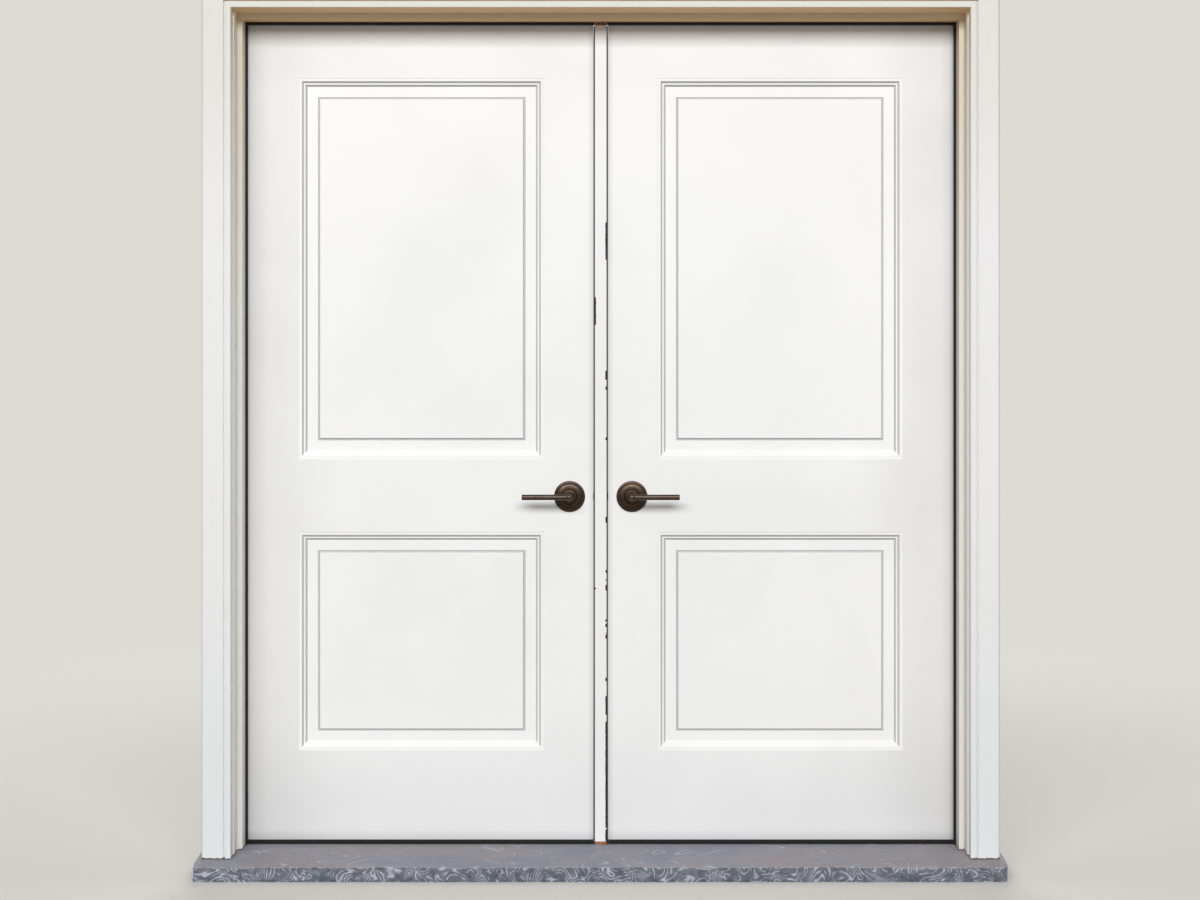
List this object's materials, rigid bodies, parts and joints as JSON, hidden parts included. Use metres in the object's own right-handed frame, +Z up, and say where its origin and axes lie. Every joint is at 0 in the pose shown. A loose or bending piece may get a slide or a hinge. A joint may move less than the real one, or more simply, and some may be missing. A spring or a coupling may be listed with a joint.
{
  "type": "french doors",
  "caption": "Panelled exterior french doors that swing inward against a fixed centre post, with lever handles, in a painted timber frame on a rough stone sill.",
  "frame": {"origin": "on the underside of the stone sill, under the middle of the wall's outer face", "axes": "+X across the opening to the right as seen from outside, +Y into the building, +Z up"},
  "size_m": [2.014, 0.2881, 2.238],
  "materials": {
    "door_paint": "satin",
    "frame_paint": "satin",
    "bare_timber": "matte",
    "rigid_foam": "matte",
    "blue_stone": "matte",
    "dark_threshold": "satin",
    "black_seal": "matte",
    "dark_bronze": "satin",
    "hinge_bronze": "satin",
    "plated_steel": "satin"
  },
  "bodies": {
    "frame": {"stone_sill": "blue_stone", "threshold": "dark_threshold", "left_jamb": "frame_paint", "right_jamb": "frame_paint", "head_jamb": "frame_paint", "left_lining": "frame_paint", "right_lining": "frame_paint", "head_lining": "frame_paint", "left_casing": "frame_paint", "right_casing": "frame_paint", "head_casing": "frame_paint", "left_jamb_seal": "black_seal", "right_jamb_seal": "black_seal", "head_seal": "black_seal", "centre_post": "door_paint", "post_end_blocks": "bare_timber", "post_seals": "black_seal", "left_strike_plate": "plated_steel", "right_strike_plate": "plated_steel", "left_hinge_frame_leaves": "hinge_bronze", "right_hinge_frame_leaves": "hinge_bronze", "left_hinge_pins": "hinge_bronze", "right_hinge_pins": "hinge_bronze", "frame_screws": "hinge_bronze"},
    "left_leaf": {"left_outer_skin": "door_paint", "left_inner_skin": "door_paint", "left_hinge_stile": "door_paint", "left_lock_stile": "door_paint", "left_top_rail": "door_paint", "left_bottom_rail": "door_paint", "left_core": "rigid_foam", "left_lock_block": "bare_timber", "left_sweep": "black_seal", "left_hinge_door_leaves": "hinge_bronze", "left_leaf_screws": "hinge_bronze", "left_outer_rose": "dark_bronze", "left_inner_rose": "dark_bronze", "left_latch_case": "plated_steel"},
    "left_lever": {"left_outer_lever": "dark_bronze", "left_inner_lever": "dark_bronze", "left_spindle": "plated_steel"},
    "left_latch": {"left_latch_bolt": "plated_steel"},
    "right_leaf": {"right_outer_skin": "door_paint", "right_inner_skin": "door_paint", "right_hinge_stile": "door_paint", "right_lock_stile": "door_paint", "right_top_rail": "door_paint", "right_bottom_rail": "door_paint", "right_core": "rigid_foam", "right_lock_block": "bare_timber", "right_sweep": "black_seal", "right_hinge_door_leaves": "hinge_bronze", "right_leaf_screws": "hinge_bronze", "right_outer_rose": "dark_bronze", "right_inner_rose": "dark_bronze", "right_latch_case": "plated_steel"},
    "right_lever": {"right_outer_lever": "dark_bronze", "right_inner_lever": "dark_bronze", "right_spindle": "plated_steel"},
    "right_latch": {"right_latch_bolt": "plated_steel"}
  },
  "joints": [
    {"name": "left_leaf_swing", "type": "hinge", "parent": "frame", "child": "left_leaf", "pos_m": [-0.9165, 0.145, 1.163], "axis": [0, 0, 1], "range_deg": [0, 105]},
    {"name": "left_lever_turn", "type": "hinge", "parent": "left_leaf", "child": "left_lever", "pos_m": [-0.0795, 0.11525, 0.941], "axis": [0, -1, 0], "range_deg": [0, 45], "stiffness_Nm_per_rad": 1, "springref_deg": -28.65},
    {"name": "left_latch_slide", "type": "slide", "parent": "left_leaf", "child": "left_latch", "axis": [-1, 0, 0], "range_m": [0, 0.011]},
    {"name": "right_leaf_swing", "type": "hinge", "parent": "frame", "child": "right_leaf", "pos_m": [0.9165, 0.145, 1.163], "axis": [0, 0, -1], "range_deg": [0, 105]},
    {"name": "right_lever_turn", "type": "hinge", "parent": "right_leaf", "child": "right_lever", "pos_m": [0.0795, 0.11525, 0.941], "axis": [0, 1, 0], "range_deg": [0, 45], "stiffness_Nm_per_rad": 1, "springref_deg": -28.65},
    {"name": "right_latch_slide", "type": "slide", "parent": "right_leaf", "child": "right_latch", "axis": [1, 0, 0], "range_m": [0, 0.011]}
  ],
  "couplings": [
    {"joint": "left_latch_slide", "follows": "left_lever_turn", "m_per_rad": 0.014},
    {"joint": "right_latch_slide", "follows": "right_lever_turn", "m_per_rad": 0.014}
  ]
}
